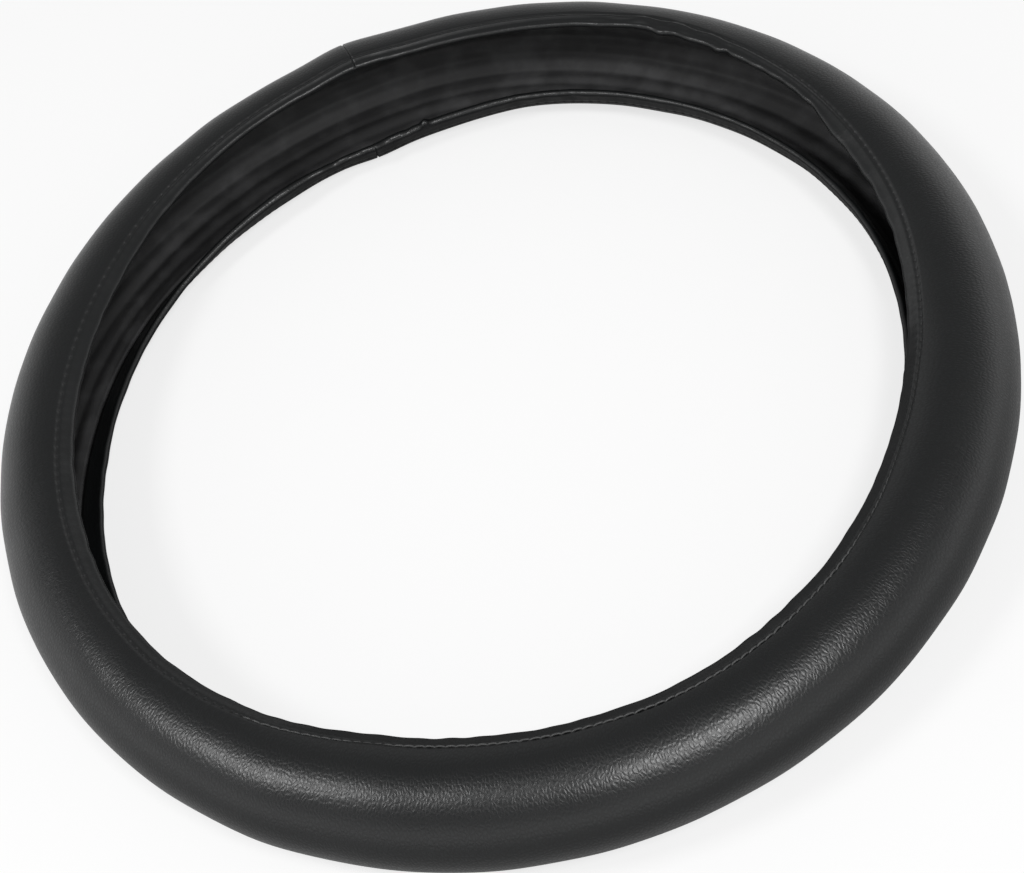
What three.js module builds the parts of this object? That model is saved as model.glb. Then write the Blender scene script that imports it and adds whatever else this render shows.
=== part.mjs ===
// Steering wheel cover: a ring-shaped leather skin with a C section, open towards the ring's
// centre, with its two edges turned under and sewn, over a ribbed rubber liner.
// Millimetres, +Z up. The cover lies flat on its rear side, and the origin is on the surface
// that it lies on, at the ring's centre.
//
// Places on the cover are given by two angles, in degrees. The ring angle goes round the ring
// from +X. The section angle goes round the covered rim: 0 faces outwards, 90 faces up to the
// driver, 180 faces the ring's centre and -90 faces the surface below. A depth is measured
// inwards from the outer surface of the leather.

import * as THREE from 'three';
import { ParametricGeometry } from 'three/addons/geometries/ParametricGeometry.js';

// The ring and its section
const outerDiameter = 380;
const gripDiameter = 42;
const restFlat = 0.5; // how far the underside is pressed flat where the cover lies

// The leather skin
const leatherThickness = 1.2;
const hemWidth = 6.9; // from the stitching to the turned edge
const turnedUnder = 3; // how far the turned leather reaches past the stitching
const crossSeamAt = 94; // ring angle where the ends of the leather strip are joined
const crossSeamWidth = 2.8;
const crossSeamDepth = 0.5;

// The stitching
const threadDiameter = 0.7;
const stitchGrooveWidth = 2.6;

// The rubber liner
const linerThickness = 2;
const ribHeight = 0.9;
const ribCount = 9;

// Gap between pieces that touch on the real cover
const clearance = 0.3;

// A cover is stretched on by hand, so its edges wander. The front line gives, at ring angles
// in rising order, the section angle of the front stitching and the width of its hem as a share
// of hemWidth.
const frontLine = [
  { at: 0, stitch: 113.8, hem: 0.93 },
  { at: 15, stitch: 104.5, hem: 0.99 },
  { at: 22, stitch: 99, hem: 0.71 },
  { at: 35, stitch: 91, hem: 0.8 },
  { at: 48, stitch: 84, hem: 0.93 },
  { at: 60, stitch: 87.5, hem: 0.87 },
  { at: 72, stitch: 92.7, hem: 0.87 },
  { at: 84, stitch: 96, hem: 0.81 },
  { at: 102, stitch: 97.5, hem: 0.77 },
  { at: 115, stitch: 101, hem: 0.75 },
  { at: 130, stitch: 105, hem: 0.86 },
  { at: 145, stitch: 109.8, hem: 0.96 },
  { at: 165, stitch: 112, hem: 0.96 },
  { at: 185, stitch: 110.5, hem: 0.99 },
  { at: 200, stitch: 109.5, hem: 0.84 },
  { at: 215, stitch: 111, hem: 0.78 },
  { at: 228, stitch: 116.5, hem: 0.8 },
  { at: 240, stitch: 124.5, hem: 1.06 },
  { at: 250, stitch: 126.3, hem: 1.12 },
  { at: 265, stitch: 120.3, hem: 1.04 },
  { at: 280, stitch: 114, hem: 0.96 },
  { at: 292, stitch: 116, hem: 1.1 },
  { at: 305, stitch: 121, hem: 1.16 },
  { at: 320, stitch: 130, hem: 1.17 },
  { at: 330, stitch: 130, hem: 1.17 },
  { at: 345, stitch: 123.5, hem: 0.99 },
];

// The rear edge swings once round the ring, to its highest section angle at rearEdgeSwingAt
const rearEdgeAngle = -153;
const rearEdgeSwing = 27;
const rearEdgeSwingAt = 195; // ring angle

// Each pull is centred on a ring angle and fades out over its spread, and moves an edge by some
// degrees or millimetres. The cross seam draws the front edge outwards.
const frontPulls = [{ at: 93, spread: 9, by: -8 }];
const rearPulls = [
  { at: 115, spread: 45, by: -16 },
  { at: 190, spread: 35, by: 9 },
];
const rearBulges = [
  { at: 102, spread: 46, by: 4.6 },
  { at: 0, spread: 62, by: -3.8 },
];
const bulgeStart = -98; // section angles between which a rear bulge grows to its full height
const bulgeFull = -134;

// How finely the curved surfaces are divided
const ringSteps = 64;
const rearSteps = 3; // from the rear stitching to the flat underside
const flatSteps = 2;
const lowerSteps = 4; // from the flat underside to the outermost line
const upperSteps = 6; // from the outermost line to the front stitching
const hemSteps = 2;
const threadSides = 6;

// Worked out from the sizes above
const gripRadius = gripDiameter / 2;
const ringRadius = outerDiameter / 2 - gripRadius;
const ringHeight = gripRadius - restFlat;
const foldDepth = 2 * leatherThickness;
const linerDepth = leatherThickness + clearance;
const stitchGrooveDepth = threadDiameter + clearance;

const { degToRad, radToDeg, euclideanModulo, lerp, smoothstep } = THREE.MathUtils;

// A length along the outer surface, as a section angle
const along = (length) => radToDeg(length / gripRadius);

// The flat underside reaches as far to both sides of the lowest line
const lowestAngle = -90;
const flatSide = radToDeg(Math.acos(ringHeight / gripRadius));
const leastRearStep = 0.5; // where the rear stitching comes close to the flat underside

// 1 at the middle of a pull and 0 past its spread
function fade(ringAngle, pull) {
  const away = Math.abs(euclideanModulo(ringAngle - pull.at + 180, 360) - 180);
  return away < pull.spread ? 0.5 + 0.5 * Math.cos(Math.PI * away / pull.spread) : 0;
}

function total(pulls, ringAngle) {
  return pulls.reduce((sum, pull) => sum + pull.by * fade(ringAngle, pull), 0);
}

// The smooth curve through the named values of a line's knots, round and round the ring
function follow(line, name, ringAngle) {
  const turned = euclideanModulo(ringAngle, 360);
  const last = line.findLastIndex((knot) => knot.at <= turned);
  const [before, from, to, after] = [-1, 0, 1, 2].map((offset) => {
    const index = last + offset;
    const knot = line[euclideanModulo(index, line.length)];
    return { at: knot.at + 360 * Math.floor(index / line.length), value: knot[name] };
  });
  const span = to.at - from.at;
  const share = (turned - from.at) / span;
  const slope = (first, second) => span * (second.value - first.value) / (second.at - first.at);
  const bend = (1 - share) * slope(before, to) - share * slope(from, after);
  return lerp(from.value, to.value, smoothstep(share, 0, 1)) + share * (1 - share) * bend;
}

// Section angles of the stitching and the turned edges at a ring angle
function edges(ringAngle) {
  const frontHem = hemWidth * follow(frontLine, 'hem', ringAngle);
  const frontStitch = follow(frontLine, 'stitch', ringAngle) + total(frontPulls, ringAngle);
  const swing = rearEdgeSwing * Math.cos(degToRad(ringAngle - rearEdgeSwingAt));
  const rearEdge = rearEdgeAngle + swing + total(rearPulls, ringAngle);
  return {
    frontStitch,
    frontEdge: frontStitch + along(frontHem),
    rearStitch: rearEdge + along(hemWidth),
    rearEdge,
  };
}

// The point at a section angle and depth: its distance from the ring's axis and its height.
// No layer reaches lower than its own depth, so each lies flat where the cover rests.
function place(ringAngle, sectionAngle, depth) {
  const grown = smoothstep(-sectionAngle, -bulgeStart, -bulgeFull);
  const radius = gripRadius + grown * total(rearBulges, ringAngle) - depth;
  const angle = degToRad(sectionAngle);
  const height = ringHeight + radius * Math.sin(angle);
  return [ringRadius + radius * Math.cos(angle), Math.max(height, depth)];
}

// Ring angles of the sections, with a few more where the cross seam is
const crossSeamSpread = radToDeg(crossSeamWidth / 2 / (outerDiameter / 2));
const crossSeam = { at: crossSeamAt, spread: crossSeamSpread, by: crossSeamDepth };
const ringAngles = [-crossSeamSpread, 0, crossSeamSpread].map((side) => crossSeamAt + side);
for (let step = 0; step < ringSteps; step += 1) {
  const ringAngle = 360 * step / ringSteps;
  if (Math.abs(ringAngle - crossSeamAt) > 2 * crossSeamSpread) {
    ringAngles.push(ringAngle);
  }
}
ringAngles.sort((first, second) => first - second);

// A closed body that goes once round the ring. section(ringAngle) gives the points of its
// closed outline there, always as many, as [distance from the axis, height].
function ringBody(section) {
  const sections = ringAngles.map(section);
  const pointCount = sections[0].length;
  const sectionCount = sections.length;
  const surface = (u, v, target) => {
    const sectionIndex = Math.round(v * sectionCount) % sectionCount;
    const [out, up] = sections[sectionIndex][Math.round((1 - u) * pointCount) % pointCount];
    const angle = degToRad(ringAngles[sectionIndex]);
    target.set(out * Math.cos(angle), out * Math.sin(angle), up);
  };
  const geometry = new ParametricGeometry(surface, pointCount, sectionCount);
  geometry.computeVertexNormals();
  return geometry;
}

// Evenly spaced values from one to another, without the last
const spaced = (from, to, steps) =>
  Array.from({ length: steps }, (unused, step) => lerp(from, to, step / steps));

// Section angles from the rear to the front of a layer, with its lowest and outermost lines
function acrossLayer(rear, front) {
  const flatRear = Math.max(lowestAngle - flatSide, rear + rearSteps * leastRearStep);
  const flatFront = lowestAngle + flatSide;
  return [
    ...spaced(rear, flatRear, rearSteps),
    ...spaced(flatRear, flatFront, flatSteps),
    ...spaced(flatFront, 0, lowerSteps),
    ...spaced(0, front, upperSteps),
    front,
  ];
}

// The groove that the stitching lies in, as [section angle, depth], in rising angle
function stitchGroove(stitch) {
  const side = along(stitchGrooveWidth / 2);
  return [
    [stitch - side, 0],
    [stitch - side / 2, stitchGrooveDepth],
    [stitch + side / 2, stitchGrooveDepth],
    [stitch + side, 0],
  ];
}

// The round fold at a turned edge, from the outer surface to the turned leather.
// side is 1 at the front and -1 at the rear.
function turnedEdge(edge, side) {
  return [0, 45, 90, 135, 180].map((turn) => {
    const inset = leatherThickness * (1 - Math.sin(degToRad(turn)));
    const depth = leatherThickness * (1 - Math.cos(degToRad(turn)));
    return [edge - side * along(inset), depth];
  });
}

function skinSection(ringAngle) {
  const { frontStitch, frontEdge, rearStitch, rearEdge } = edges(ringAngle);
  const grooveSide = along(stitchGrooveWidth / 2);
  const foldSide = along(leatherThickness);
  const frontTurned = frontStitch - along(turnedUnder);
  const rearTurned = rearStitch + along(turnedUnder);
  const seam = total([crossSeam], ringAngle);
  const outside = [
    ...stitchGroove(rearStitch),
    ...acrossLayer(rearStitch + grooveSide, frontStitch - grooveSide)
      .slice(1, -1).map((angle) => [angle, 0]),
    ...stitchGroove(frontStitch),
  ].map(([angle, depth]) => [angle, depth + seam]);
  const inside = [
    ...spaced(frontEdge - foldSide, frontTurned, hemSteps)
      .slice(1).map((angle) => [angle, foldDepth]),
    [frontTurned, foldDepth],
    ...acrossLayer(rearTurned, frontTurned).reverse().map((angle) => [angle, leatherThickness]),
    ...spaced(rearTurned, rearEdge + foldSide, hemSteps).map((angle) => [angle, foldDepth]),
  ];
  return [
    ...outside,
    ...turnedEdge(frontEdge, 1),
    ...inside,
    ...turnedEdge(rearEdge, -1).reverse(),
  ].map(([angle, depth]) => place(ringAngle, angle, depth));
}

// The liner fills the skin between its turned edges, with ribs along its inside
function linerSection(ringAngle) {
  const { frontStitch, rearStitch } = edges(ringAngle);
  const front = frontStitch - along(turnedUnder + clearance);
  const rear = rearStitch + along(turnedUnder + clearance);
  const valley = linerDepth + linerThickness;
  const ribEdges = spaced(front, rear, 2 * ribCount).map((angle, index) => {
    const isCrest = index % 2 === 1;
    return [angle, isCrest ? valley + ribHeight : valley];
  });
  return [
    ...acrossLayer(rear, front).map((angle) => [angle, linerDepth]),
    ...ribEdges,
    [rear, valley],
  ].map(([angle, depth]) => place(ringAngle, angle, depth));
}

// One round thread, level with the leather and clear of the bottom of its groove
function threadSection(ringAngle, stitch) {
  const [out, up] = place(ringAngle, stitch, threadDiameter / 2);
  return spaced(0, 2 * Math.PI, threadSides).map((turn) => [
    out + threadDiameter / 2 * Math.cos(turn),
    up + threadDiameter / 2 * Math.sin(turn),
  ]);
}

const leatherMaterial = new THREE.MeshStandardMaterial({
  name: 'leather', color: 0x1b1c1d, roughness: 0.5, metalness: 0,
});
const rubberMaterial = new THREE.MeshStandardMaterial({
  name: 'rubber', color: 0x121212, roughness: 0.8, metalness: 0,
});
const frontThreadMaterial = new THREE.MeshStandardMaterial({
  name: 'front thread', color: 0x2a2a2b, roughness: 0.6, metalness: 0,
});
const rearThreadMaterial = frontThreadMaterial.clone();
rearThreadMaterial.name = 'rear thread';

function piece(name, section, material) {
  const mesh = new THREE.Mesh(ringBody(section), material);
  mesh.name = name;
  return mesh;
}

const cover = new THREE.Group();
cover.name = 'steering_wheel_cover';
cover.add(
  piece('leather_skin', skinSection, leatherMaterial),
  piece('rubber_liner', linerSection, rubberMaterial),
  piece(
    'front_stitching',
    (ringAngle) => threadSection(ringAngle, edges(ringAngle).frontStitch),
    frontThreadMaterial,
  ),
  piece(
    'rear_stitching',
    (ringAngle) => threadSection(ringAngle, edges(ringAngle).rearStitch),
    rearThreadMaterial,
  ),
);

export default cover;
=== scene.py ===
# %% [markdown]
# # A leather steering wheel cover
#
# The cover is a leather strip bent into a ring, and its section is a C that opens towards the
# ring's centre. Both long edges of the strip are turned under and sewn, the two ends meet in one
# cross seam, and a ribbed rubber liner inside gives the cover its hold.
#
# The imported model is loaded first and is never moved. It gives the sizes, and every piece below
# is built around it, in metres. The box of its leather says how thick the grip is and how far
# the grip's middle line lies from the ring's axis. The underside is pressed flat where the cover
# rests on it, which takes half a millimetre off the height.

import math

import bpy
import numpy as np
from mathutils import Matrix, Vector


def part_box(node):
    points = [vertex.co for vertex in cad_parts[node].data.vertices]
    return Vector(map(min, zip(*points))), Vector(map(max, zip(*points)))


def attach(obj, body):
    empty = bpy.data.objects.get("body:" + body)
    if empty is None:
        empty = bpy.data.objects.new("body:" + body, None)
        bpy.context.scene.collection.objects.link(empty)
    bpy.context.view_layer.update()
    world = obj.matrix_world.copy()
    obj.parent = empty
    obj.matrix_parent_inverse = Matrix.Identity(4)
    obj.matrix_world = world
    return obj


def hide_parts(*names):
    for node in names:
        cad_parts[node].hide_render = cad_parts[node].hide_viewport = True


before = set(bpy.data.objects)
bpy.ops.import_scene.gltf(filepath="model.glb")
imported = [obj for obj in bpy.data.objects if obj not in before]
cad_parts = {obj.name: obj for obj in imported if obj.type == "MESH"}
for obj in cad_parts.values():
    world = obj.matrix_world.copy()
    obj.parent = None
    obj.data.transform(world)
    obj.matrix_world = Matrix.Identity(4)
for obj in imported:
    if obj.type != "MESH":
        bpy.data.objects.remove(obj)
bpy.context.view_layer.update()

# %% Sizes of the ring
REST_FLAT = 0.0005

leather_low, leather_high = (Vector(corner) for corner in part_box("leather_skin"))
GRIP_RADIUS = (leather_high.z - leather_low.z + REST_FLAT) / 2
OUTER_RADIUS = (leather_high.x - leather_low.x) / 2
RING_RADIUS = OUTER_RADIUS - GRIP_RADIUS
RING_HEIGHT = GRIP_RADIUS - REST_FLAT
print("grip:", round(2000 * GRIP_RADIUS, 1), "mm thick, middle line at a radius of",
      round(1000 * RING_RADIUS, 1), "mm")

# %% [markdown]
# ## The camera
#
# A photograph of a ring gives its camera away: the outline's width, height and tilt fix how high
# the camera stands and how far it is rolled, and how much the near side swells fixes how close
# it is. The camera looks at the ring's centre from 51 degrees above the surface. It is then
# turned down a little, which moves the ring up in the picture, and rolled to the left.

# %% Camera
IMAGE_WIDTH_PX = 1024
FOCAL_PX = 1700
SENSOR_WIDTH = 36.0
CAMERA_DISTANCE = 0.6336
CAMERA_ELEVATION = math.radians(51.46)
CAMERA_DOWN = math.radians(2.23)
CAMERA_RIGHT = math.radians(0.03)
CAMERA_ROLL = math.radians(19.4)
CAMERA_REACH = 50


def add_camera():
    target = Vector((0, 0, RING_HEIGHT))
    offset = Vector((0, -math.cos(CAMERA_ELEVATION), math.sin(CAMERA_ELEVATION)))
    ahead = -offset
    right = Vector((1, 0, 0))
    up = right.cross(ahead)
    ahead, right = (
        ahead * math.cos(CAMERA_RIGHT) + right * math.sin(CAMERA_RIGHT),
        right * math.cos(CAMERA_RIGHT) - ahead * math.sin(CAMERA_RIGHT),
    )
    ahead, up = (
        ahead * math.cos(CAMERA_DOWN) - up * math.sin(CAMERA_DOWN),
        up * math.cos(CAMERA_DOWN) + ahead * math.sin(CAMERA_DOWN),
    )
    right, up = (
        right * math.cos(CAMERA_ROLL) - up * math.sin(CAMERA_ROLL),
        up * math.cos(CAMERA_ROLL) + right * math.sin(CAMERA_ROLL),
    )
    data = bpy.data.cameras.new("camera")
    data.sensor_fit = "HORIZONTAL"
    data.sensor_width = SENSOR_WIDTH
    data.lens = SENSOR_WIDTH * FOCAL_PX / IMAGE_WIDTH_PX
    data.clip_end = CAMERA_REACH
    camera = bpy.data.objects.new("camera", data)
    bpy.context.scene.collection.objects.link(camera)
    turn = Matrix((right, up, -ahead)).transposed().to_4x4()
    camera.matrix_world = Matrix.Translation(target + offset * CAMERA_DISTANCE) @ turn
    bpy.context.scene.camera = camera
    return camera


camera = add_camera()
print("camera lens:", round(camera.data.lens, 2), "mm, at",
      tuple(round(value, 4) for value in camera.location))

# %% [markdown]
# ## Where the edges run
#
# A place on the cover has two angles. The ring angle goes round the ring. The section angle goes
# round the grip: 0 faces outwards, 90 up, 180 the ring's centre and -90 the floor. The cover is
# stretched into place by hand, so its sewn edges wander. The front line gives the stitching's
# section angle and the hem's width at some ring angles, and a smooth curve runs through them.
# Pulls, bulges and tucks are each centred on a ring angle and fade out over a spread. A pull
# moves an edge by some degrees, a bulge lifts the rear of the cover, in metres, and a tuck is a
# short fold, in metres, where an edge is a little too long for its place.
#
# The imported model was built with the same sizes, so the fine leather lies where the plain solid
# does. Three things differ, because they are too fine for the solid: the tucks, the third bulge,
# and the pull at the cross seam, which is weaker here because a hump lifts the edge there too.

# %% The front edge
HEM_WIDTH = 0.0069
# ring angle, section angle of the stitching, hem width as a share of HEM_WIDTH
FRONT_LINE = np.array([
    (0, 113.8, 0.93), (15, 104.5, 0.99), (22, 99, 0.71), (35, 91, 0.80), (48, 84, 0.93),
    (60, 87.5, 0.87), (72, 92.7, 0.87), (84, 96, 0.81), (102, 97.5, 0.77), (115, 101, 0.75),
    (130, 105, 0.86), (145, 109.8, 0.96), (165, 112, 0.96), (185, 110.5, 0.99),
    (200, 109.5, 0.84), (215, 111, 0.78), (228, 116.5, 0.80), (240, 124.5, 1.06),
    (250, 126.3, 1.12), (265, 120.3, 1.04), (280, 114, 0.96), (292, 116, 1.10),
    (305, 121, 1.16), (320, 130, 1.17), (330, 130, 1.17), (345, 123.5, 0.99)])
# ring angle, spread, and by how much
FRONT_PULLS = [(93, 9, -2)]
FRONT_TUCKS = [(51, 4, -0.0007), (48, 2.2, 0.0009), (38.3, 1.4, 0.0006), (36.9, 1.1, -0.0007)]


def fade(ring_angle, at, spread):
    """1 at one ring angle, falling smoothly to 0 where it is the spread away."""
    away = np.abs((ring_angle - at + 180) % 360 - 180)
    return np.where(away < spread, 0.5 + 0.5 * np.cos(np.pi * away / spread), 0)


def total(pulls, ring_angle):
    """What all of a list's pulls, bulges or tucks do together at a ring angle."""
    return sum(by * fade(ring_angle, at, spread) for at, spread, by in pulls)


def along(length):
    """The section angle that a length on the leather's face takes up."""
    return np.degrees(length / GRIP_RADIUS)


def follow(column, ring_angle):
    """The smooth curve through a column of the front line, round and round the ring."""
    at, values = FRONT_LINE[:, 0], FRONT_LINE[:, column]
    at = np.concatenate([at[-2:] - 360, at, at[:2] + 360])
    values = np.concatenate([values[-2:], values, values[:2]])
    slopes = (values[2:] - values[:-2]) / (at[2:] - at[:-2])
    turned = np.mod(ring_angle, 360)
    last = np.searchsorted(at, turned, side="right") - 1
    span = at[last + 1] - at[last]
    share = (turned - at[last]) / span
    eased = share * share * (3 - 2 * share)
    bend = span * ((1 - share) * slopes[last - 1] - share * slopes[last])
    return values[last] * (1 - eased) + values[last + 1] * eased + share * (1 - share) * bend


def front_stitch(ring_angle):
    return follow(1, ring_angle) + total(FRONT_PULLS, ring_angle)


def front_edge(ring_angle):
    return front_stitch(ring_angle) + along(HEM_WIDTH * follow(2, ring_angle))


every_degree = np.arange(360.0)
print("front stitching wanders from", round(front_stitch(every_degree).min(), 1),
      "to", round(front_stitch(every_degree).max(), 1), "degrees")

# %% The rear edge
REAR_EDGE_ANGLE = -153
REAR_EDGE_SWING = 27
REAR_EDGE_SWING_AT = 195
REAR_PULLS = [(115, 45, -16), (190, 35, 9)]
REAR_TUCKS = [(102, 12, -0.0024), (91, 8, -0.0006), (86.2, 1.2, 0.0018), (89.5, 1.3, -0.0005)]


def rear_edge(ring_angle):
    swing = REAR_EDGE_SWING * np.cos(np.radians(ring_angle - REAR_EDGE_SWING_AT))
    return REAR_EDGE_ANGLE + swing + total(REAR_PULLS, ring_angle)


def rear_stitch(ring_angle):
    return rear_edge(ring_angle) + along(HEM_WIDTH)


print("rear edge wanders from", round(rear_edge(every_degree).min(), 1),
      "to", round(rear_edge(every_degree).max(), 1), "degrees")

# %% A point on the cover
REAR_BULGES = [(102, 46, 0.0046), (0, 62, -0.0038), (85, 17, 0.0015)]
BULGE_START = -98
BULGE_FULL = -134


def place(ring_angle, section_angle, depth):
    """Points at ring and section angles in degrees, at a depth below the leather's face.

    No point lies lower than the floor, and on the pressed underside the depth is kept.
    """
    share = np.clip((BULGE_START - section_angle) / (BULGE_START - BULGE_FULL), 0, 1)
    grown = share * share * (3 - 2 * share)
    radius = GRIP_RADIUS + grown * total(REAR_BULGES, ring_angle) - depth
    section, ring = np.radians(section_angle), np.radians(ring_angle)
    out = RING_RADIUS + radius * np.cos(section)
    up = np.maximum(RING_HEIGHT + radius * np.sin(section), np.maximum(depth, 0))
    return np.stack([out * np.cos(ring), out * np.sin(ring), up], axis=-1)


print("top of the far side:", np.round(place(90.0, 90.0, 0.0), 4))

# %% [markdown]
# ## A ring from sections
#
# The leather and the liner are both a closed outline carried once round the ring. A curve with
# a bevel shape would do that for one outline, but here the outline changes all the way round. So
# numpy works out a grid of points, one row for each ring angle, and the grid's rows and columns
# both close on themselves, so the mesh has no open edge. Each corner also gets UV coordinates in
# metres: U runs along the strip and V across it, so leather grain can follow the strip as it
# bends. The strip starts and ends at the cross seam, and so does U. The rows stand close
# together where something small happens: at every needle hole, and at the seam.

# %% Stations round the ring
CROSS_SEAM_AT = 93.6
STITCH_COUNT = 264
STITCH_GATHER = 0.14
STITCH_GATHER_AT = 295
TURN_OVERLAP = 5
STEPS_PER_DEGREE = 10
STITCH_STATIONS = np.array([0.0, 0.1, 0.33, 0.67, 0.9])
SEAM_STATIONS = np.array([-2.4, -1.5, -0.9, -0.5, -0.2, 0.0, 0.2, 0.5, 0.9, 1.5, 2.4]) / 1000
SEAM_CLEAR = 0.003

strip_length = 2 * math.pi * RING_RADIUS


def gathered_angle(ring_angle):
    """Stitches are closer together on the near side, which moves them round the ring."""
    return np.degrees(STITCH_GATHER * np.sin(np.radians(ring_angle - STITCH_GATHER_AT)))


def stitch_number(ring_angle):
    """Stitches sewn between the cross seam and a ring angle."""
    gathered = gathered_angle(ring_angle) - gathered_angle(CROSS_SEAM_AT)
    return (ring_angle - CROSS_SEAM_AT + gathered) * STITCH_COUNT / 360


def angle_of_stitch(number):
    """The other way round, read off closely spaced angles that reach past one turn."""
    steps = (360 + 2 * TURN_OVERLAP) * STEPS_PER_DEGREE + 1
    angles = CROSS_SEAM_AT + np.linspace(-TURN_OVERLAP, 360 + TURN_OVERLAP, steps)
    return np.interp(number, stitch_number(angles), angles)


def ring_angle_at(along_strip):
    return CROSS_SEAM_AT + 360 * along_strip / strip_length


def ring_stations():
    """Lengths along the strip, close together at each needle hole and at the cross seam."""
    numbers = (np.arange(STITCH_COUNT)[:, None] + STITCH_STATIONS).ravel()
    stops = (angle_of_stitch(numbers) - CROSS_SEAM_AT) * strip_length / 360
    stops = stops[(stops > SEAM_CLEAR) & (stops < strip_length - SEAM_CLEAR)]
    return np.sort(np.concatenate([stops, np.mod(SEAM_STATIONS, strip_length)]))


along_ring = ring_stations()
ring_angles = ring_angle_at(along_ring)
print("strip length:", round(strip_length, 3), "m,", len(along_ring), "sections")

# %% Mesh from a grid of sections
def grid_mesh(name, points, along_ring, across, materials, material_index=None):
    """A closed mesh with UVs in metres and, where it is given, a material for each column."""
    rows, columns = points.shape[:2]
    row, column = np.meshgrid(np.arange(rows), np.arange(columns), indexing="ij")
    next_row, next_column = (row + 1) % rows, (column + 1) % columns
    corners = [(row, column), (next_row, column), (next_row, next_column), (row, next_column)]
    faces = np.stack([r * columns + c for r, c in corners], axis=-1).reshape(-1, 4)
    mesh = bpy.data.meshes.new(name)
    mesh.from_pydata(points.reshape(-1, 3).tolist(), [], faces.tolist())
    wrapped_row = np.stack([row, row + 1, row + 1, row], axis=-1)
    wrapped_column = np.stack([column, column, column + 1, column + 1], axis=-1)
    u = np.append(along_ring, strip_length)[wrapped_row]
    closed = np.concatenate([across, across[:, :1]], axis=1)
    v = closed[wrapped_row % rows, wrapped_column]
    layer = mesh.uv_layers.new(name="strip")
    layer.data.foreach_set("uv", np.stack([u, v], axis=-1).ravel())
    mesh.polygons.foreach_set("use_smooth", np.ones(len(mesh.polygons), dtype=bool))
    for material in materials:
        mesh.materials.append(material)
    if material_index is not None:
        index = np.broadcast_to(material_index, (rows, columns)).astype(np.int32)
        mesh.polygons.foreach_set("material_index", index.ravel())
    mesh.update()
    piece = bpy.data.objects.new(name, mesh)
    bpy.context.scene.collection.objects.link(piece)
    return piece


def add_attribute(piece, name, values):
    layer = piece.data.attributes.new(name, "FLOAT", "POINT")
    layer.data.foreach_set("value", np.asarray(values, dtype=np.float32).ravel())


def spaced(start, end, steps):
    """Evenly spaced columns from one to another, without the last."""
    share = np.arange(steps) / steps
    return np.asarray(start)[..., None] * (1 - share) + np.asarray(end)[..., None] * share


print("four columns from 0 to 8:", spaced(0.0, 8.0, 4))

# %% [markdown]
# ## Wobbles that close
#
# Leather never lies perfectly even. A wobble is a sum of waves that fit a whole number of times
# round the ring, with phases from a seeded generator, so it closes on itself and comes out the
# same on every run. Waves of few turns bend a piece softly and waves of many turns pucker it.

# %% Seeded wobbles
def wobble(ring_angle, seed, fewest, most, count=14):
    random = np.random.default_rng(seed)
    turns = random.integers(fewest, most + 1, count)
    phases = random.uniform(0, 2 * np.pi, count)
    waves = [np.cos(np.radians(ring_angle) * t + p) for t, p in zip(turns, phases)]
    return sum(waves) / math.sqrt(count / 2)


def ripple(ring_angle, across, seed, fewest, most, wavelength, count=16):
    """A wobble that changes across the strip too."""
    random = np.random.default_rng(seed)
    turns = random.integers(fewest, most + 1, count)
    phases = random.uniform(0, 2 * np.pi, count)
    slants = random.uniform(-1, 1, count) * 2 * np.pi / wavelength
    waves = [np.cos(np.radians(ring_angle) * t + across * s + p)
             for t, s, p in zip(turns, slants, phases)]
    return sum(waves) / math.sqrt(count / 2)


print("a sample wobble:", np.round(wobble(np.array([0.0, 90.0, 180.0]), 1, 3, 9), 2))

# %% [markdown]
# ## Shader maths as Python
#
# Materials are worked out with expressions. One small class wraps a node's output socket, and
# its operators add Math nodes, so a formula for grain reads as a formula. Any other node comes
# from one method that takes its type, its settings and the values or links of its sockets. The
# same classes write the geometry tree of the stitches further down.

# %% Expressions for materials
class Value:
    """A node's output socket, with operators that add Math nodes."""

    def __init__(self, graph, socket):
        self.graph, self.socket = graph, socket

    def math(self, operation, other):
        return self.graph.node("ShaderNodeMath", {"operation": operation}, {0: self, 1: other})

    def __add__(self, other):
        return self.math("ADD", other)

    def __mul__(self, other):
        return self.math("MULTIPLY", other)

    def __sub__(self, other):
        return self.math("SUBTRACT", other)

    def __rsub__(self, other):
        return self.math("MULTIPLY", -1).math("ADD", other)

    __radd__, __rmul__ = __add__, __mul__

    def ramp(self, low, high, to_low=0.0, to_high=1.0):
        return self.graph.node(
            "ShaderNodeMapRange", {"interpolation_type": "SMOOTHSTEP"},
            {"Value": self, "From Min": low, "From Max": high,
             "To Min": to_low, "To Max": to_high})


# %% Node trees and finishes
class Graph:
    """A node tree whose nodes are added by expressions."""

    def __init__(self, tree):
        self.tree = tree

    def node(self, kind, settings=None, inputs=None, output=0):
        """Add a node, set it, feed its inputs and give back one of its outputs."""
        node = self.tree.nodes.new(kind)
        for name, value in (settings or {}).items():
            setattr(node, name, value)
        for name, value in (inputs or {}).items():
            self.feed(node.inputs[name], value)
        return Value(self, node.outputs[output])

    def feed(self, socket, value):
        if isinstance(value, Value):
            self.tree.links.new(value.socket, socket)
        else:
            socket.default_value = value


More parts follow.
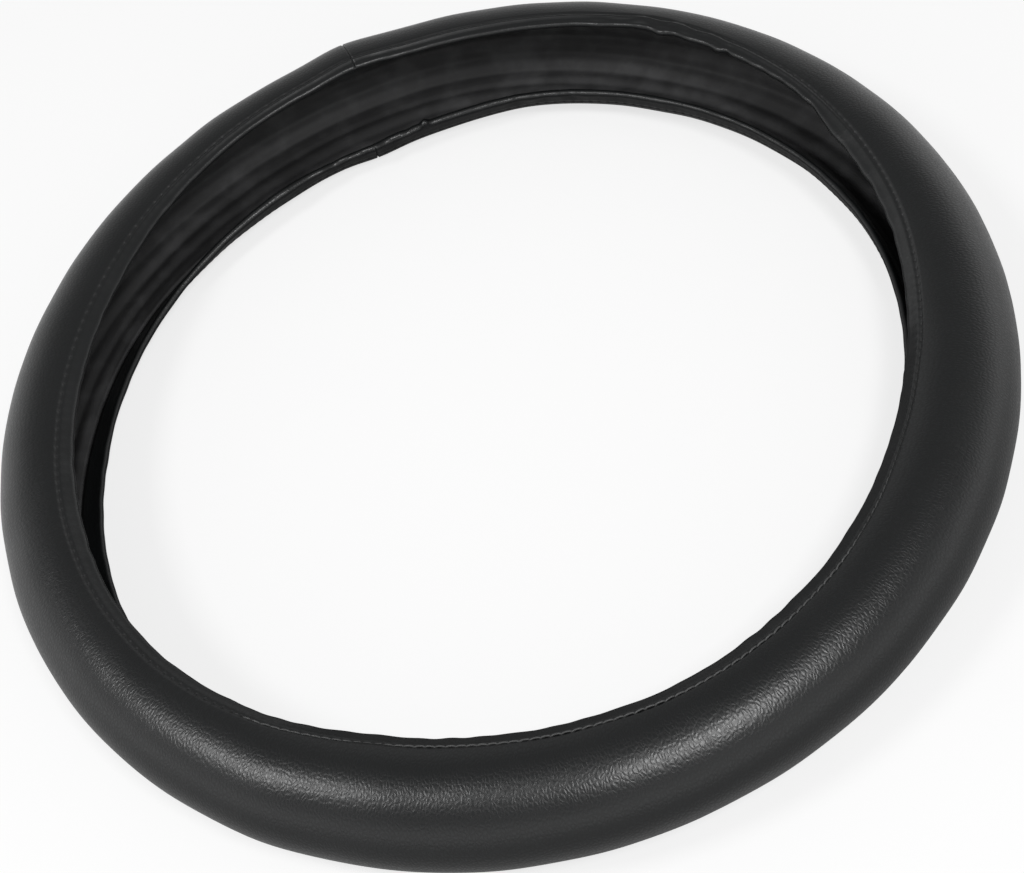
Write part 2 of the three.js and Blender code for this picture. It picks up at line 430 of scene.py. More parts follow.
class Finish(Graph):
    """A material on the Principled shader."""

    def __init__(self, name):
        self.material = bpy.data.materials.new(name)
        self.material.use_nodes = True
        super().__init__(self.material.node_tree)
        self.shader = self.tree.nodes["Principled BSDF"]

    def set(self, **inputs):
        for name, value in inputs.items():
            self.feed(self.shader.inputs[name.replace("_", " ")], value)

    def strip(self):
        """Metres along and across the strip."""
        return self.node("ShaderNodeUVMap", {"uv_map": "strip"})

    def space(self):
        return self.node("ShaderNodeTexCoord", output="Object")

    def noise(self, where, scale, detail, dimensions="3D", output=0):
        return self.node("ShaderNodeTexNoise", {"noise_dimensions": dimensions},
                         {"Vector": where, "Scale": scale, "Detail": detail}, output=output)

    def attribute(self, name):
        return self.node("ShaderNodeAttribute", {"attribute_name": name}, output="Fac")

    def blend(self, share, first, second):
        return self.node("ShaderNodeMix", {"data_type": "RGBA"},
                         {"Factor": share, 6: first, 7: second}, output=2)

    def relief(self, height, distance):
        return self.node("ShaderNodeBump", {}, {"Height": height, "Distance": distance})


# %% [markdown]
# ## Leather
#
# The leather is black, rolled with a fine pebble grain. It is stretched across the strip, so
# each pebble is about 1.2 mm long along the strip and 2 mm across it. A Voronoi pattern's
# distance to its edges gives rounded pebbles with creases between them, and noise bends the
# creases first so that no two pebbles match. Coarser noise adds wrinkles and finer noise pores.
# Creases are duller than the tops, which is why a highlight on leather breaks into glints.
#
# Two attributes come from the mesh. The first marks what the thread and the seam pull in, which is
# dull and painted dark: painted shade in the needle holes and the thread's groove, and a darker
# line along the seam. Taut marks the hems and the leather beside them, whose grain is flatter.

# %% Leather finish
LEATHER_COLOR = (0.0052, 0.0062, 0.0066, 1)
CREASE_AND_SHADE_COLOR = (0.0028, 0.0031, 0.0033, 1)
PEBBLE_LENGTH = 0.0012
PEBBLE_STRETCH = 0.6
PEBBLE_EDGE = 0.4
BEND_SCALE = 0.5 / PEBBLE_LENGTH
WRINKLE_SCALE = 0.22 / PEBBLE_LENGTH
PORE_SCALE = 3 / PEBBLE_LENGTH
PATCH_SCALE = 40.0
GRAIN_DEPTH = 0.00007
PEBBLE_SHARE = 0.55
WRINKLE_SHARE = 0.9
PORE_SHARE = 0.16
TAUT_SMOOTHING = 0.75
PATCH_SHADE = 0.3
CREASE_SHADE = 0.8
LEATHER_ROUGHNESS = 0.39
PEBBLE_SHINE = 0.07
PATCH_ROUGHNESS = 0.06
CREASE_ROUGHNESS = 0.12


def leather_finish():
    finish = Finish("leather")
    strip = finish.strip()
    stretched = finish.node("ShaderNodeMapping", {},
                            {"Vector": strip, "Scale": (1, PEBBLE_STRETCH, 1)})
    bend = finish.noise(stretched, BEND_SCALE, 2.0, "2D", output="Color")
    bent = finish.node("ShaderNodeVectorMath", {"operation": "MULTIPLY_ADD"},
                       {0: bend, 1: (PEBBLE_LENGTH,) * 3, 2: stretched})
    pebbles = finish.node(
        "ShaderNodeTexVoronoi", {"voronoi_dimensions": "2D", "feature": "DISTANCE_TO_EDGE"},
        {"Vector": bent, "Scale": 1 / PEBBLE_LENGTH}, output="Distance").ramp(0.0, PEBBLE_EDGE)
    wrinkles = finish.noise(stretched, WRINKLE_SCALE, 3.0, "2D")
    pores = finish.noise(strip, PORE_SCALE, 2.0, "2D")
    patches = finish.noise(strip, PATCH_SCALE, 4.0, "2D")
    stitch_shade_and_seam, taut = finish.attribute("stitch_shade_and_seam"), finish.attribute("taut")
    grain = pebbles * PEBBLE_SHARE + wrinkles * WRINKLE_SHARE + pores * PORE_SHARE
    tops = pebbles * (1 - PATCH_SHADE + PATCH_SHADE * patches)
    color = finish.blend(tops, CREASE_AND_SHADE_COLOR, LEATHER_COLOR)
    roughness = LEATHER_ROUGHNESS - PEBBLE_SHINE * pebbles + PATCH_ROUGHNESS * (patches - 0.5)
    # Painted shade: the marked needle holes and thread groove, and the seam line, are blended
    # towards the crease colour.
    finish.set(
        Base_Color=finish.blend(stitch_shade_and_seam * CREASE_SHADE, color, CREASE_AND_SHADE_COLOR),
        Roughness=roughness + CREASE_ROUGHNESS * stitch_shade_and_seam,
        Normal=finish.relief(grain * (1 - TAUT_SMOOTHING * taut), GRAIN_DEPTH))
    return finish.material


leather = leather_finish()
print("leather:", len(leather.node_tree.nodes), "nodes")

# %% [markdown]
# ## Backing, rubber and thread
#
# The strip's underside is a thin knitted backing. It shows only as the cut edge of the turned
# leather beside the liner, so a dull dark grey with a fine fibre bump is enough. The rubber of the
# liner is matt and fine grained, with a little dust in patches. The thread is bonded, so it is
# smoother than the leather's creases and a little lighter, with painted shade between its strands.
# These two have no strip to follow, so their patterns are noise in space.

# %% Backing finish
BACKING_COLOR = (0.075, 0.075, 0.078, 1)
BACKING_SHADE = (0.03, 0.03, 0.031, 1)
BACKING_ROUGHNESS = 0.9
FIBRE_SCALE = 2500.0
FIBRE_DEPTH = 0.0001


def backing_finish():
    finish = Finish("backing")
    fibres = finish.noise(finish.strip(), FIBRE_SCALE, 3.0, "2D")
    finish.set(
        Base_Color=finish.blend(fibres, BACKING_SHADE, BACKING_COLOR),
        Roughness=BACKING_ROUGHNESS,
        Normal=finish.relief(fibres, FIBRE_DEPTH))
    return finish.material


# %% Rubber finish
RUBBER_COLOR = (0.011, 0.011, 0.0115, 1)
RUBBER_DUST = (0.03, 0.03, 0.031, 1)
RUBBER_ROUGHNESS = 0.66
DUST_ROUGHNESS = 0.12
DUST_SCALE = 90.0
DUST_LEAST = 0.4
DUST_MOST = 0.75
MOULD_SCALE = 2200.0
MOULD_DEPTH = 0.00006


def rubber_finish():
    finish = Finish("rubber")
    space = finish.space()
    dust = finish.noise(space, DUST_SCALE, 4.0)
    finish.set(
        Base_Color=finish.blend(dust.ramp(DUST_LEAST, DUST_MOST), RUBBER_COLOR, RUBBER_DUST),
        Roughness=RUBBER_ROUGHNESS + DUST_ROUGHNESS * dust,
        Normal=finish.relief(finish.noise(space, MOULD_SCALE, 2.0), MOULD_DEPTH))
    return finish.material


# %% Thread finish
THREAD_COLOR = (0.068, 0.069, 0.07, 1)
THREAD_SHADE = (0.016, 0.016, 0.015, 1)
THREAD_ROUGHNESS = 0.42
STRAND_ROUGHNESS = 0.15
STRAND_SCALE = 4000.0
STRAND_DEPTH = 0.00008


def thread_finish():
    finish = Finish("thread")
    strands = finish.noise(finish.space(), STRAND_SCALE, 2.0)
    # Painted shade between the strands: where the noise is low, the thread's colour falls to
    # THREAD_SHADE.
    finish.set(
        Base_Color=finish.blend(strands, THREAD_SHADE, THREAD_COLOR),
        Roughness=THREAD_ROUGHNESS + STRAND_ROUGHNESS * strands,
        Normal=finish.relief(strands, STRAND_DEPTH))
    return finish.material


backing, rubber, thread = backing_finish(), rubber_finish(), thread_finish()
print("materials:", [m.name for m in (leather, backing, rubber, thread)])

# %% [markdown]
# ## The leather skin
#
# One outline goes round the leather's section: over the outside from the rear edge to the front
# edge, round the folded edge, and back along the inside, thick where the leather is double and
# thin between the hems. More points stand where the shape is small: at the stitching and at the
# folds. Then each point of the outside is pushed in or out by a few effects: the thread pulls
# the leather down, most of all at the needle holes, the hems puff up, the edges pucker, and the
# cross seam cuts a narrow valley into the low hump that the joined ends make.
#
# A cloth simulation or sculpting could make the skin too. It is worked out point by point, so
# that every size can be changed and each needle hole lies right under its thread.
#
# The leather is pulled tight on the near side. On the far side the front hem hangs slack: its
# ridge is higher, its thread lies in a deeper crease and the needle holes are almost closed. The
# rear hem is puffed up there too. The seam leans a little, and the rows of points lean with it.

# %% Outline of the leather's section
LEATHER_THICKNESS = 0.0012
TURNED_UNDER = 0.003
FOLD_DEPTH = 2 * LEATHER_THICKNESS
GROOVE_SIDE = 0.0016
FACE_STEPS = 24
HEM_STEPS = 4
GROOVE_STEPS = 8
FOLD_STEPS = 5
INSIDE_STEPS = 6


def fold(edge, side):
    """The round fold of a turned edge, from the face to the turned side."""
    turn = np.linspace(0, np.pi, FOLD_STEPS + 1)
    inset = LEATHER_THICKNESS * (1 - np.sin(turn))
    angles = edge[:, None] - side * along(inset)[None, :]
    return angles, np.broadcast_to(LEATHER_THICKNESS * (1 - np.cos(turn)), angles.shape)


def level(angles, depth):
    return angles, np.full(angles.shape, depth)


# %% Columns of the section
PUCKER_FRONT = 0.00012
PUCKER_REAR = 0.0003
# how strongly the edges pucker all round, and by ring angle and spread how much more they do
FRONT_PUCKERED = 0.5
REAR_PUCKERED = 0.15
FRONT_PUCKERS = [(50, 14, 2.2), (25, 40, 0.8)]
REAR_PUCKERS = [(100, 24, 1.3), (60, 40, 0.5)]
SEAM_SLANT = 1.9
SLANT_SPREAD = 30


def leaned(ring_angle):
    """Ring angle of the rear hem on a row, because the cross seam leans and its rows with it."""
    return ring_angle + SEAM_SLANT * fade(ring_angle, CROSS_SEAM_AT, SLANT_SPREAD)


def leather_section(ring):
    at_rear = leaned(ring)
    front_wave = wobble(ring, seed=11, fewest=40, most=120)
    front_wave = front_wave * (FRONT_PUCKERED + total(FRONT_PUCKERS, ring))
    rear_wave = wobble(at_rear, seed=13, fewest=30, most=90)
    rear_wave = rear_wave * (REAR_PUCKERED + total(REAR_PUCKERS, ring))
    front = front_edge(ring) + along(PUCKER_FRONT * front_wave + total(FRONT_TUCKS, ring))
    rear = rear_edge(at_rear) - along(PUCKER_REAR * rear_wave + total(REAR_TUCKS, at_rear))
    stitch_front, stitch_rear = front_stitch(ring), rear_stitch(at_rear)
    side, inset = along(GROOVE_SIDE), along(LEATHER_THICKNESS)
    turned_front = stitch_front - along(TURNED_UNDER)
    turned_rear = stitch_rear + along(TURNED_UNDER)
    rear_fold, rear_depth = fold(rear, -1)
    parts = [
        (rear_fold[:, ::-1], rear_depth[:, ::-1]),
        level(spaced(rear + inset, stitch_rear - side, HEM_STEPS)[:, 1:], 0.0),
        level(spaced(stitch_rear - side, stitch_rear + side, GROOVE_STEPS), 0.0),
        level(spaced(stitch_rear + side, stitch_front - side, FACE_STEPS), 0.0),
        level(spaced(stitch_front - side, stitch_front + side, GROOVE_STEPS), 0.0),
        level(spaced(stitch_front + side, front - inset, HEM_STEPS), 0.0),
        fold(front, 1),
        level(spaced(front - inset, turned_front, HEM_STEPS)[:, 1:], FOLD_DEPTH),
        level(turned_front[:, None], FOLD_DEPTH),
        level(spaced(turned_front, turned_rear, INSIDE_STEPS), LEATHER_THICKNESS),
        level(turned_rear[:, None], LEATHER_THICKNESS),
        level(spaced(turned_rear, rear + inset, HEM_STEPS), FOLD_DEPTH),
    ]
    angles = np.concatenate([a for a, d in parts], axis=1)
    depths = np.concatenate([d for a, d in parts], axis=1)
    return angles, depths, front_wave, rear_wave


section_angles, depths, front_wave, rear_wave = leather_section(ring_angles)
print("each section has", section_angles.shape[1], "points")

# %% Relief of a hem
SLACK_AT = 72
SLACK_SPREAD = 88
CREASE_DEPTH = 0.0001
CREASE_SIDE = 0.0007
SLACK_CREASE = 0.0004
RIDGE_HEIGHT = 0.00008
RIDGE_AT = 0.0011
RIDGE_SIDE = 0.0009
SLACK_RIDGE = 0.0007
RIDGE_SWAY = 0.0008
SWAY_TURNS = 65
SWAY_FROM = 51
SWAY_AT = 46
SWAY_SPREAD = 15
HEM_START = 0.0006
LIP_HEIGHT = 0.00022
LIP_INSET = 0.0012
FACE_RISE = 0.0001
FACE_RISE_AT = 0.0015
FACE_RISE_SIDE = 0.001


def bell(distance, side):
    return np.exp(-(distance / side) ** 2)


def slack(ring_angle):
    """Share by which the front hem hangs slack, on the far side, where its thread sinks in."""
    return fade(ring_angle, SLACK_AT, SLACK_SPREAD)


def hem_relief(beyond, hem_width, ring_angle, slackness):
    """Height of one hem by the distance beyond its stitching: crease, ridge and rolled lip."""
    on_hem = np.clip(beyond / HEM_START, 0, 1)
    waves = np.cos(np.radians(ring_angle - SWAY_FROM) * SWAY_TURNS)
    sway = RIDGE_SWAY * waves * fade(ring_angle, SWAY_AT, SWAY_SPREAD)
    ridge_height = RIDGE_HEIGHT + SLACK_RIDGE * slackness
    ridge = ridge_height * bell(beyond - RIDGE_AT + sway, RIDGE_SIDE)
    lip = LIP_HEIGHT * bell(beyond - hem_width + LIP_INSET, RIDGE_SIDE) * on_hem
    face = FACE_RISE * bell(beyond + FACE_RISE_AT, FACE_RISE_SIDE)
    crease = (CREASE_DEPTH + SLACK_CREASE * slackness) * bell(beyond, CREASE_SIDE)
    return ridge + lip + face - crease


print("slack of the front hem: far side", round(float(slack(90.0)), 2),
      "and near side", round(float(slack(270.0)), 2))

# %% Distances on the leather
across = np.radians(section_angles) * GRIP_RADIUS
row_angle = ring_angles[:, None]
stitch_phase = 2 * np.pi * stitch_number(row_angle)
from_hole = np.abs(np.mod(stitch_number(row_angle) + 0.5, 1) - 0.5) * strip_length / STITCH_COUNT
front_sewn, rear_sewn = front_stitch(row_angle), rear_stitch(leaned(row_angle))
to_rear = np.clip((front_sewn - section_angles) / (front_sewn - rear_sewn), 0, 1)
ring = row_angle + (leaned(row_angle) - row_angle) * to_rear
past_front = across - np.radians(front_sewn) * GRIP_RADIUS
past_rear = np.radians(rear_sewn) * GRIP_RADIUS - across
front_hem = np.radians(front_edge(row_angle) - front_sewn) * GRIP_RADIUS
front_nearer = np.abs(past_front) < np.abs(past_rear)
nearest = np.where(front_nearer, past_front, past_rear)
hem_width = np.where(front_nearer, front_hem, HEM_WIDTH)
seam_away = np.mod(along_ring + strip_length / 2, strip_length)[:, None] - strip_length / 2
print("front hem between", round(float(front_hem.min()) * 1000, 1), "and",
      round(float(front_hem.max()) * 1000, 1), "mm wide")

# %% Push and pull the outside
HOLE_DEPTH = 0.0005
HOLE_SIDE = 0.00048
PUCKER_HEIGHT = 0.00007
PUCKER_SIDE = 0.003
SLACK_SMOOTHING = 0.85
SEAM_VALLEY = 0.0008
SEAM_SIDE = 0.00022
SEAM_HUMP = 0.0014
HUMP_SIDE = 0.0135
DRAPE_HEIGHT = 0.00008
DRAPE_LENGTH = 0.05
EDGE_REACH = 0.005
FRONT_FLUTTER = 0.0001
REAR_FLUTTER = 0.00025
EDGE_PUFF = 0.45
PUFF_AT = 100
PUFF_SPREAD = 70

slackness = np.where(front_nearer, slack(row_angle), 0)
firm = 1 - SLACK_SMOOTHING * slackness
holes = firm * bell(nearest, HOLE_SIDE) * bell(from_hole, HOLE_SIDE)
puckers = firm * PUCKER_HEIGHT * np.cos(stitch_phase) * bell(nearest, PUCKER_SIDE)
seam = bell(seam_away, SEAM_SIDE)
hump = SEAM_HUMP * bell(seam_away, HUMP_SIDE)
drape = DRAPE_HEIGHT * ripple(ring, across, seed=21, fewest=8, most=40, wavelength=DRAPE_LENGTH)
on_front = np.clip(past_front / EDGE_REACH, 0, 1)
on_rear = np.clip(past_rear / EDGE_REACH, 0, 1)
front_flutter = FRONT_FLUTTER * front_wave[:, None] * on_front ** 2
rear_flutter = REAR_FLUTTER * rear_wave[:, None] * on_rear ** 2
raised = hem_relief(nearest, hem_width, row_angle, slackness) + puckers + drape
raised = raised - HOLE_DEPTH * holes - SEAM_VALLEY * seam
outside = np.clip(1 - depths / LEATHER_THICKNESS, 0, 1)
puff = 1 + EDGE_PUFF * fade(row_angle, PUFF_AT, PUFF_SPREAD) * on_rear
wall = depths * puff - raised * outside - (front_flutter + rear_flutter) - hump
print("raised by up to", round(float(raised.max()) * 1000, 2), "mm and sunk by up to",
      round(float(-raised.min()) * 1000, 2), "mm")

# %% Marks for the leather finish
GROOVE_SHADE_SHARE = 0.35
TAUT_SIDE = 0.004
LIP_GRAIN = 0.0025
LIP_TAUT = 0.3

# Painted shade for the leather's colour: the needle holes and a share of the thread's groove, plus
# a darker line along the seam. The same marks make the leather duller.
stitch_shade_and_seam = np.clip(holes + GROOVE_SHADE_SHARE * bell(nearest, CREASE_SIDE) + seam, 0, 1) * outside
taut = np.clip(1 + nearest / TAUT_SIDE, 0, 1)
taut = taut * np.clip((hem_width - nearest) / LIP_GRAIN, LIP_TAUT, 1)
print("creased on", round(100 * float((stitch_shade_and_seam > 0.5).mean()), 1), "percent of the points")

# %% Make the leather cover
column_count = section_angles.shape[1]
backing_end = column_count - HEM_STEPS
backing_start = backing_end - INSIDE_STEPS - 2
is_backing = np.zeros(column_count, dtype=int)
is_backing[backing_start:backing_end] = 1
leather_points = place(ring, section_angles, wall)
leather_cover = grid_mesh("leather_cover", leather_points, along_ring, across,
                          [leather, backing], is_backing)
add_attribute(leather_cover, "stitch_shade_and_seam", stitch_shade_and_seam)
add_attribute(leather_cover, "taut", taut)
print("leather cover:", len(leather_cover.data.vertices), "points,",
      2 * len(leather_cover.data.polygons), "triangles")

# %% [markdown]
# ## The rubber liner
#
# The liner is moulded rubber that fills the skin between its turned edges. Ribs run round its
# inside, and they give the cover its grip. It is made the same way as the leather, from one
# outline carried round the ring, with a rounded wave for the ribs.

# %% Rubber liner
CLEARANCE = 0.0003
LINER_THICKNESS = 0.002
RIB_HEIGHT = 0.0009
RIB_ROUNDING = 0.7
RIB_COUNT = 9
RIB_POINTS = 10
LINER_DEPTH = LEATHER_THICKNESS + CLEARANCE
LINER_RING_STEPS = 480
LINER_BACK_STEPS = 40

along_liner = strip_length * np.arange(LINER_RING_STEPS) / LINER_RING_STEPS
liner_ring = ring_angle_at(along_liner)
liner_front = front_stitch(liner_ring) - along(TURNED_UNDER + CLEARANCE)
liner_rear = rear_stitch(liner_ring) + along(TURNED_UNDER + CLEARANCE)
back = spaced(liner_rear, liner_front, LINER_BACK_STEPS)
ribs = spaced(liner_front, liner_rear, RIB_COUNT * RIB_POINTS)
wave = 0.5 - 0.5 * np.cos(2 * np.pi * np.arange(ribs.shape[1] + 1) / RIB_POINTS)
rib_depth = LINER_DEPTH + LINER_THICKNESS + RIB_HEIGHT * wave ** RIB_ROUNDING
back_depth = np.full(LINER_BACK_STEPS + 1, LINER_DEPTH)
liner_angles = np.concatenate(
    [back, liner_front[:, None], ribs, liner_rear[:, None]], axis=1)
liner_depths = np.broadcast_to(np.concatenate([back_depth, rib_depth]), liner_angles.shape)
liner_points = place(liner_ring[:, None], liner_angles, liner_depths)
rubber_ring = grid_mesh("ribbed_liner", liner_points, along_liner,
                        np.radians(liner_angles) * GRIP_RADIUS, [rubber])
print("liner:", 2 * len(rubber_ring.data.polygons), "triangles")

# %% [markdown]
# ## The stitches
#
# Each stitch is a short arch of thread that comes up out of one needle hole and goes down the
# next. Hundreds of them follow the hems, so Geometry Nodes place them: the script gives one
# point for each stitch, with the direction of the seam and the way out of the leather, and the
# tree bends a curve, gives it a round section and sets a copy on each point. A seeded random
# value tilts each a little, as hand-fed sewing does.
#
# The front thread stands proud of the taut leather on the near side. It sinks in at the sides,
# where little more than the tops of the stitches shows, and lies in the slack hem's crease on
# the far side. The rear thread is sunk level all round, because the cover lies on part of it.

# %% A geometry tree with named inputs
STITCH_INPUTS = (
    ("Points", "Geometry"), ("Length", "Float"), ("Thread Radius", "Float"), ("Rise", "Float"),
    ("Sink", "Float"), ("Lean", "Float"), ("Tilt", "Float"), ("Seed", "Int"),
    ("Material", "Material"))


def open_tree(name, inputs):
    """An empty geometry tree as a Graph, and the values of its inputs by their names."""
    tree = bpy.data.node_groups.new(name, "GeometryNodeTree")
    for label, kind in inputs:
        tree.interface.new_socket(label, in_out="INPUT", socket_type="NodeSocket" + kind)
    tree.interface.new_socket("Mesh", in_out="OUTPUT", socket_type="NodeSocketGeometry")
    graph = Graph(tree)
    sockets = tree.nodes.new("NodeGroupInput").outputs
    return graph, {socket.name: Value(graph, socket) for socket in sockets}


print("inputs of the stitch tree:", [label for label, kind in STITCH_INPUTS])

# %% Stitch tree
ARCH_STEPS = 7
THREAD_SIDES = 6


def arch_of_thread(graph, given):
    """One stitch, centred on the origin, with X along the seam and Z out of the leather."""
    half, minus_half = given["Length"] * 0.5, given["Length"] * -0.5
    rise, down = given["Rise"], given["Sink"] * -1.0

    def point(along_seam, out):
        return graph.node("ShaderNodeCombineXYZ", {}, {"X": along_seam, "Z": out})

    arch = graph.node(
        "GeometryNodeCurvePrimitiveBezierSegment", {"mode": "POSITION"},
        {"Resolution": ARCH_STEPS, "Start": point(minus_half, down), "End": point(half, down),
         "Start Handle": point(minus_half, rise), "End Handle": point(half, rise)})
    section = graph.node("GeometryNodeCurvePrimitiveCircle", {"mode": "RADIUS"},
                         {"Resolution": THREAD_SIDES, "Radius": given["Thread Radius"]})
    stitch = graph.node("GeometryNodeCurveToMesh", {},
                        {"Curve": arch, "Profile Curve": section, "Fill Caps": True})
    return graph.node("GeometryNodeSetShadeSmooth", {},
                      {"Geometry": stitch, "Shade Smooth": True})


def turn_of_stitch(graph, given):
    """Each stitch faces out of the leather and runs along the seam, leaning a little."""
    outward, run = (
        graph.node("GeometryNodeInputNamedAttribute", {"data_type": "FLOAT_VECTOR"}, {"Name": name})
        for name in ("outward", "run"))
    facing = graph.node("FunctionNodeAxesToRotation",
                        {"primary_axis": "Z", "secondary_axis": "X"}, {0: outward, 1: run})
    tilt = graph.node(
        "FunctionNodeRandomValue", {"data_type": "FLOAT"},
        {2: given["Tilt"] * -1.0, 3: given["Tilt"], "Seed": given["Seed"]}, output=1)
    turns = graph.node("ShaderNodeCombineXYZ", {}, {"Z": tilt + given["Lean"]})
    lean = graph.node("FunctionNodeEulerToRotation", {}, {0: turns})
    return graph.node("FunctionNodeRotateRotation", {"rotation_space": "LOCAL"},
                      {"Rotation": facing, "Rotate By": lean})


def stitch_tree():
    graph, given = open_tree("stitches", STITCH_INPUTS)
    placed = graph.node(
        "GeometryNodeInstanceOnPoints", {},
        {"Points": given["Points"], "Instance": arch_of_thread(graph, given),
         "Rotation": turn_of_stitch(graph, given)})
    real = graph.node("GeometryNodeRealizeInstances", {}, {"Geometry": placed})
    painted = graph.node("GeometryNodeSetMaterial", {},
                         {"Geometry": real, "Material": given["Material"]})
    graph.feed(graph.tree.nodes.new("NodeGroupOutput").inputs["Mesh"], painted)
    return graph.tree


stitches = stitch_tree()
print("stitch tree:", len(stitches.nodes), "nodes")

# %% Points and meshes of a row
def row_points(name, centres, outward, run):
    """One point for each stitch, with the way out of the leather and the way of the seam."""
    mesh = bpy.data.meshes.new(name)
    mesh.from_pydata(centres.tolist(), [], [])
    for label, vectors in (("outward", outward), ("run", run)):
        layer = mesh.attributes.new(label, "FLOAT_VECTOR", "POINT")
        layer.data.foreach_set("vector", vectors.astype(np.float32).ravel())
    row = bpy.data.objects.new(name, mesh)
    bpy.context.scene.collection.objects.link(row)
    return row


def row_mesh(row, name, values):
    """A plain mesh of what the tree makes of the points, which are taken away again."""
    modifier = row.modifiers.new("stitches", "NODES")
    modifier.node_group = stitches
    for item in stitches.interface.items_tree:
        if item.in_out == "INPUT" and item.name in values:
            modifier[item.identifier] = values[item.name]
    bpy.context.view_layer.update()
    seen = row.evaluated_get(bpy.context.evaluated_depsgraph_get())
    sewn = bpy.data.meshes.new_from_object(seen)
    sewn.name = name
    piece = bpy.data.objects.new(name, sewn)
    bpy.context.scene.collection.objects.link(piece)
    bpy.data.objects.remove(row)
    print(name + ":", len(sewn.polygons), "faces")
    return piece


# %% Sew the two hems
THREAD_RADIUS = 0.00036
THREAD_DEPTH = -0.00012
SIDE_SINK = 0.001
FAR_SINK = 0.0002
REAR_SINK = 0.00058
PROUD_AT = 272
PROUD_SPREAD = 85
STITCH_SHARE = 0.86
STITCH_RISE = 0.0003
STITCH_SINK = 0.0005
STITCH_LEAN = 0.1
STITCH_TILT = 0.11
OUTWARD_STEP = 0.001


def front_sunk(ring_angle):
    """Depth that the front thread sinks in: nothing on the near side, most on the far side."""
    proud = fade(ring_angle, PROUD_AT, PROUD_SPREAD)
    return SIDE_SINK * (1 - proud) + FAR_SINK * slack(ring_angle)


def rear_sunk(ring_angle):
    """The rear thread is sunk level with the leather, because the cover lies on part of it."""
    return np.full(np.shape(ring_angle), REAR_SINK)


def upright(ring_angle):
    """The front row isn't leaned, because the leaning rows of points start from it."""
    return ring_angle


def sew(name, stitch_angle, row_to_ring, sunk, seed):
    def on_seam(number, lifted=0.0):
        angle = angle_of_stitch(number)
        from_seam = np.radians(angle - CROSS_SEAM_AT) * RING_RADIUS
        lift = lifted + SEAM_HUMP * bell(from_seam, HUMP_SIDE)
        turned = row_to_ring(angle)
        return place(turned, stitch_angle(turned), THREAD_DEPTH + sunk(turned) - lift)

    middles = np.arange(STITCH_COUNT) + 0.5
    centres, above = on_seam(middles), on_seam(middles, OUTWARD_STEP)
    ahead, behind = on_seam(middles + 0.5), on_seam(middles - 0.5)
    pitch = float(np.linalg.norm(ahead - behind, axis=1).mean())
    print(name + ": a stitch every", round(pitch * 1000, 2), "mm")
    row = row_points(name + "_points", centres, above - centres, ahead - behind)
    return row_mesh(row, name, {
        "Length": pitch * STITCH_SHARE, "Thread Radius": THREAD_RADIUS, "Rise": STITCH_RISE,
        "Sink": STITCH_SINK, "Lean": STITCH_LEAN, "Tilt": STITCH_TILT, "Seed": seed,
        "Material": thread})


front_stitches = sew("front_stitches", front_stitch, upright, front_sunk, seed=3)
rear_stitches = sew("rear_stitches", rear_stitch, leaned, rear_sunk, seed=4)

# %% [markdown]
# ## Floor and light
#
# The cover lies on a plain pale floor. The camera sees that floor almost white. For every other ray
# the floor is painted darker: darker on the near side than on the far side, and darkest in a
# painted shadow inside and under the ring, where its glow in reflections fades too. So it throws
# little light back on the near side and inside the ring, and the leather's shaded faces stay dark.
# Two soft lamps hang high up, on the left and in front, and draw the highlights along the near
# side. The surroundings are pale near the horizon, which greys the leather where it turns away, and
# darker higher up and at the far end, which keeps the inner side black.

# %% Floor
FLOOR_HALF = 4.0
FLOOR_PAINT = (0.8, 0.8, 0.8, 1)
FLOOR_ROUGHNESS = 0.4
SEEN_GLOW = 0.72
MIRRORED_GLOW = 0.15
NEAR_BOUNCE = 0.26
NEAR_BOUNCE_AT = -0.17
FAR_BOUNCE = 0.8
FAR_BOUNCE_AT = 0.1
MIDDLE_BOUNCE = 0.15
MIDDLE_RADIUS = 0.14
PAINTED_SHADOW_EDGE = 0.185


def add_floor():
    corners = [(x * FLOOR_HALF, y * FLOOR_HALF, 0) for x, y in ((-1, -1), (1, -1), (1, 1), (-1, 1))]
    mesh = bpy.data.meshes.new("floor")
    mesh.from_pydata(corners, [], [(0, 1, 2, 3)])
    floor = bpy.data.objects.new("floor", mesh)
    bpy.context.scene.collection.objects.link(floor)
    finish = Finish("floor_white")
    seen = finish.node("ShaderNodeLightPath", output="Is Camera Ray")
    mirrored = finish.node("ShaderNodeLightPath", output="Is Glossy Ray")
    space = finish.space()
    far = finish.node("ShaderNodeSeparateXYZ", {}, {0: space}, output="Y")
    reach = finish.node("ShaderNodeVectorMath", {"operation": "LENGTH"}, {0: space},
                        output="Value")
    # Painted shadow: inside and under the ring, the colour that other rays see and the floor's glow
    # in reflections fall to MIDDLE_BOUNCE of their share.
    outside_painted_shadow = reach.ramp(MIDDLE_RADIUS, PAINTED_SHADOW_EDGE, MIDDLE_BOUNCE, 1)
    # Painted shade: other rays also see the floor darker on the near side than on the far side.
    bounce = far.ramp(NEAR_BOUNCE_AT, FAR_BOUNCE_AT, NEAR_BOUNCE, FAR_BOUNCE) * outside_painted_shadow
    finish.set(Base_Color=finish.blend(seen, bounce, FLOOR_PAINT), Roughness=FLOOR_ROUGHNESS)
    glow = finish.node("ShaderNodeEmission", {}, {"Color": (1, 1, 1, 1), "Strength": 1.0})
    glow_share = seen * SEEN_GLOW + mirrored * MIRRORED_GLOW * outside_painted_shadow
    body = Value(finish, finish.shader.outputs[0])
    mixed = finish.node("ShaderNodeMixShader", {}, {0: glow_share, 1: body, 2: glow})
    finish.feed(finish.tree.nodes["Material Output"].inputs["Surface"], mixed)
    mesh.materials.append(finish.material)
    return floor


floor = add_floor()
print("floor:", 2 * FLOOR_HALF, "metres wide")

# %% Lamps
LAMP_TARGET = Vector((0, 0, 0.02))
# name, place, width of the square and power in watts
LAMPS = [("left softbox", (-0.8, -0.08, 1.2), 0.35, 7.7),
         ("front softbox", (0.26, -0.64, 1.2), 0.32, 9.5)]


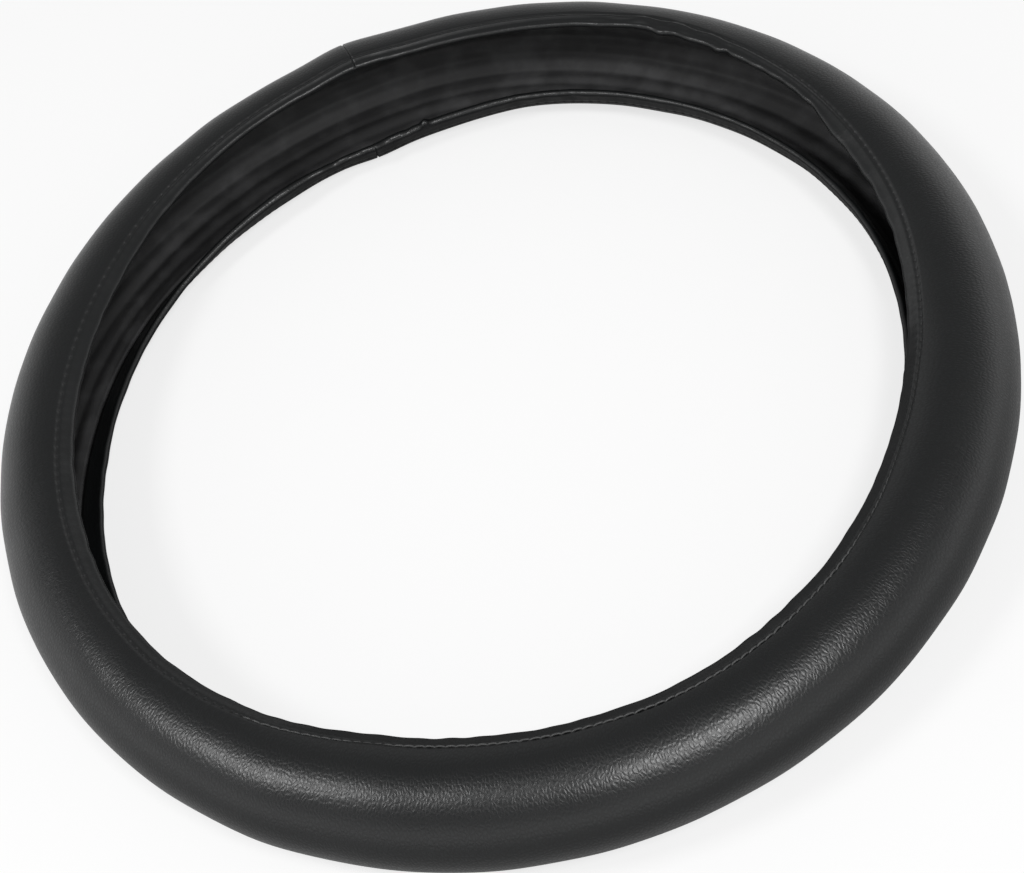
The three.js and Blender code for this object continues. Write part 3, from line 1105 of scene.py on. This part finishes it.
def add_lamp(name, position, width, power):
    data = bpy.data.lights.new(name, "AREA")
    data.shape = "SQUARE"
    data.size = width
    data.energy = power
    lamp = bpy.data.objects.new(name, data)
    bpy.context.scene.collection.objects.link(lamp)
    lamp.location = position
    lamp.rotation_euler = (LAMP_TARGET - Vector(position)).to_track_quat("-Z", "Y").to_euler()


for lamp in LAMPS:
    add_lamp(*lamp)
print("lamps:", [name for name, position, width, power in LAMPS])

# %% Surroundings
WALL_LIGHT = 1.25
WALL_TOP = 0.15
CEILING_LIGHT = 0.28
CEILING_EDGE = 0.76
FAR_WALL_SHARE = 0.42
FAR_WALL_EDGE = 0.55


def set_world():
    world = bpy.data.worlds.new("studio")
    bpy.context.scene.world = world
    world.use_nodes = True
    graph = Graph(world.node_tree)
    direction = graph.node("ShaderNodeTexCoord", output="Generated")
    height = graph.node("ShaderNodeSeparateXYZ", {}, {0: direction}, output="Z")
    depth = graph.node("ShaderNodeSeparateXYZ", {}, {0: direction}, output="Y")
    walls = height.ramp(WALL_TOP, CEILING_EDGE, WALL_LIGHT, CEILING_LIGHT)
    walls = walls * depth.ramp(FAR_WALL_EDGE, 1, 1, FAR_WALL_SHARE)
    seen = graph.node("ShaderNodeLightPath", output="Is Camera Ray")
    background = graph.tree.nodes["Background"]
    graph.feed(background.inputs["Color"], (1, 1, 1, 1))
    graph.feed(background.inputs["Strength"], walls.math("MAXIMUM", seen))


set_world()
bpy.context.scene.view_settings.view_transform = "Standard"
print("world:", bpy.context.scene.world.name)

# %% [markdown]
# ## What belongs to what
#
# The cover is one body, so every piece rides on the root. Each fine piece stands for the plain
# solid of the imported model that it replaces, and that solid is hidden.
#
# The leather was a flat sheet once. It was as long as the ring's middle line. Its width is a
# guess: stretched, with both hems turned under, it reaches 122 mm, so it was cut 112 mm wide.

# %% Tie the pieces to the model
for piece, node, slot_name in (
        (leather_cover, "leather_skin", "leather"),
        (rubber_ring, "rubber_liner", "rubber"),
        (front_stitches, "front_stitching", "thread"),
        (rear_stitches, "rear_stitching", "thread")):
    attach(piece, "root")
    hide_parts(node)
